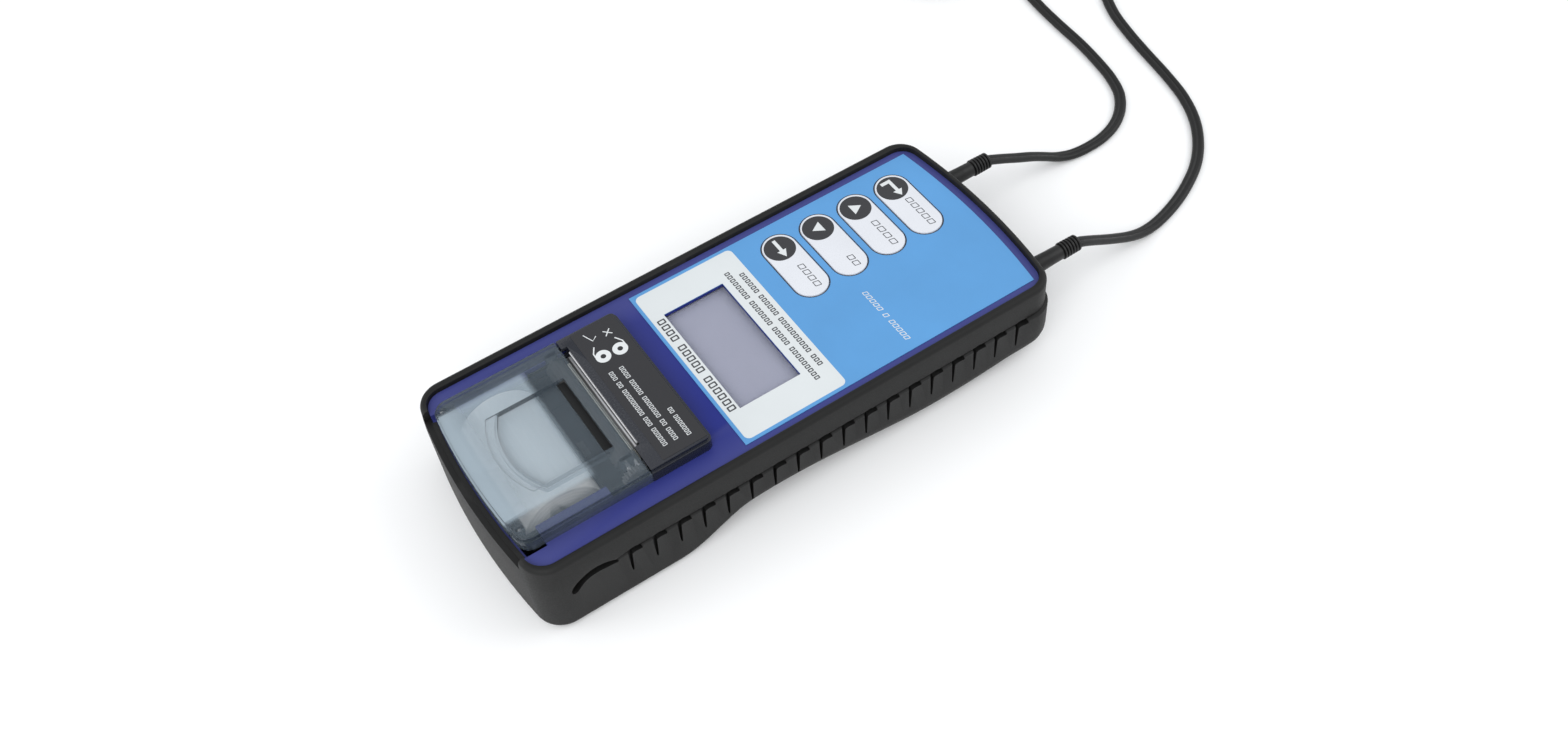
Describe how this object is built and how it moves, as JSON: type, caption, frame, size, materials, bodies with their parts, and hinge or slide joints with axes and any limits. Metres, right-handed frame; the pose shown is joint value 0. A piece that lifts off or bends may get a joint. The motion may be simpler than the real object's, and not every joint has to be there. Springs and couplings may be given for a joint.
{
  "type": "battery tester",
  "caption": "Handheld battery tester in a rubber boot, with screen, keypad, built-in thermal paper printer under a smoked door, and clamp leads.",
  "frame": {"origin": "centre of the rubber boot's footprint, on the surface the tester rests on", "axes": "+X to the right as the face is read, +Y up the face towards the printer, +Z out of the face"},
  "size_m": [0.336, 0.4791, 0.0472],
  "materials": {
    "boot_rubber": "matt, fine grain",
    "case_blue": "satin, fine texture",
    "case_dark": "satin",
    "label_blue": "satin printed film",
    "lens_clear": "clear",
    "frame_steel": "bright",
    "lcd_grey": "polished",
    "key_white": "matt",
    "plunger_black": "satin",
    "switch_grey": "satin",
    "board_green": "lacquered",
    "chip_black": "matt",
    "capacitor_sleeve": "gloss",
    "screw_steel": "bright",
    "aluminium_sink": "extruded",
    "terminal_green": "satin",
    "wire_black": "satin",
    "printer_black": "satin",
    "bezel_smoke": "polished",
    "bezel_film": "satin printed film",
    "door_smoke": "polished",
    "shaft_steel": "ground",
    "platen_rubber": "ground",
    "gear_acetal": "natural",
    "pinion_brass": "machined",
    "motor_steel": "plated",
    "head_ceramic": "glazed",
    "spring_steel": "drawn",
    "ribbon_amber": "film",
    "tear_steel": "bright",
    "paper_white": "paper",
    "core_card": "card",
    "lead_black": "smooth",
    "clamp_red": "moulded",
    "clamp_black": "moulded",
    "jaw_copper": "plated"
  },
  "bodies": {
    "housing": {"rubber_boot": "boot_rubber", "front_case": "case_blue", "rear_case": "case_dark", "case_screws": "screw_steel", "face_label": "label_blue", "screen_lens": "lens_clear", "lcd_frame": "frame_steel", "lcd_glass": "lcd_grey", "key_switches": "switch_grey", "main_board": "board_green", "board_screws": "screw_steel", "controller_chip": "chip_black", "capacitors": "capacitor_sleeve", "buzzer": "chip_black", "power_transistors": "chip_black", "heat_sink": "aluminium_sink", "lead_terminals": "terminal_green", "lead_wires": "wire_black", "printer_frame": "printer_black", "printer_screws": "screw_steel", "printer_bezel": "bezel_smoke", "bezel_label": "bezel_film", "stepper_motor": "motor_steel", "printhead": "head_ceramic", "head_springs": "spring_steel", "head_ribbon": "ribbon_amber", "tear_bar": "tear_steel", "paper_sensor": "chip_black", "strain_reliefs": "lead_black", "red_lead": "lead_black", "red_coil": "lead_black", "red_lead_end": "lead_black", "red_clamp_fixed": "clamp_red", "black_lead": "lead_black", "black_coil": "lead_black", "black_lead_end": "lead_black", "black_clamp_fixed": "clamp_black", "clamp_pins": "shaft_steel", "clamp_springs": "spring_steel", "fixed_jaw_plates": "jaw_copper"},
    "back_key": {"key_back": "key_white", "plunger_back": "plunger_black"},
    "up_key": {"key_up": "key_white", "plunger_up": "plunger_black"},
    "down_key": {"key_down": "key_white", "plunger_down": "plunger_black"},
    "enter_key": {"key_enter": "key_white", "plunger_enter": "plunger_black"},
    "door": {"printer_door": "door_smoke", "hinge_pins": "shaft_steel"},
    "platen": {"platen_roller": "platen_rubber", "platen_shaft": "shaft_steel", "platen_gear": "gear_acetal"},
    "idler": {"idler_gear": "gear_acetal"},
    "motor_shaft": {"motor_pinion": "pinion_brass"},
    "roll": {"paper_roll": "paper_white", "roll_core": "core_card"},
    "red_jaw": {"red_clamp_moving": "clamp_red"},
    "black_jaw": {"black_clamp_moving": "clamp_black"}
  },
  "joints": [
    {"name": "back_press", "type": "slide", "parent": "housing", "child": "back_key", "axis": [0, 0, 1], "range_m": [-0.0006, 0], "stiffness_N_per_m": 400},
    {"name": "up_press", "type": "slide", "parent": "housing", "child": "up_key", "axis": [0, 0, 1], "range_m": [-0.0006, 0], "stiffness_N_per_m": 400},
    {"name": "down_press", "type": "slide", "parent": "housing", "child": "down_key", "axis": [0, 0, 1], "range_m": [-0.0006, 0], "stiffness_N_per_m": 400},
    {"name": "enter_press", "type": "slide", "parent": "housing", "child": "enter_key", "axis": [0, 0, 1], "range_m": [-0.0006, 0], "stiffness_N_per_m": 400},
    {"name": "door_hinge", "type": "hinge", "parent": "housing", "child": "door", "pos_m": [0, 0.117, 0.0432], "axis": [-1, 0, 0], "range_deg": [0, 100]},
    {"name": "platen_spin", "type": "hinge", "parent": "door", "child": "platen", "pos_m": [0.004, 0.0683, 0.0396], "axis": [1, 0, 0], "continuous": true},
    {"name": "idler_spin", "type": "hinge", "parent": "housing", "child": "idler", "pos_m": [-0.033, 0.0683, 0.0276], "axis": [1, 0, 0], "continuous": true},
    {"name": "motor_spin", "type": "hinge", "parent": "housing", "child": "motor_shaft", "pos_m": [-0.033, 0.0579, 0.02469], "axis": [1, 0, 0], "continuous": true},
    {"name": "roll_spin", "type": "hinge", "parent": "housing", "child": "roll", "pos_m": [0.004, 0.0974, 0.0246], "axis": [1, 0, 0], "continuous": true},
    {"name": "red_jaw_hinge", "type": "hinge", "parent": "housing", "child": "red_jaw", "pos_m": [0.25002, -0.17977, 0.0088], "axis": [0, 0, 1], "range_deg": [0, 20], "stiffness_Nm_per_rad": 1.2, "springref_deg": -17.19},
    {"name": "black_jaw_hinge", "type": "hinge", "parent": "housing", "child": "black_jaw", "pos_m": [0.23915, -0.32643, 0.0088], "axis": [0, 0, 1], "range_deg": [0, 20], "stiffness_Nm_per_rad": 1.2, "springref_deg": -17.19}
  ],
  "couplings": [
    {"joint": "idler_spin", "follows": "platen_spin", "ratio": -0.66667},
    {"joint": "motor_spin", "follows": "platen_spin", "ratio": 1.3333}
  ]
}
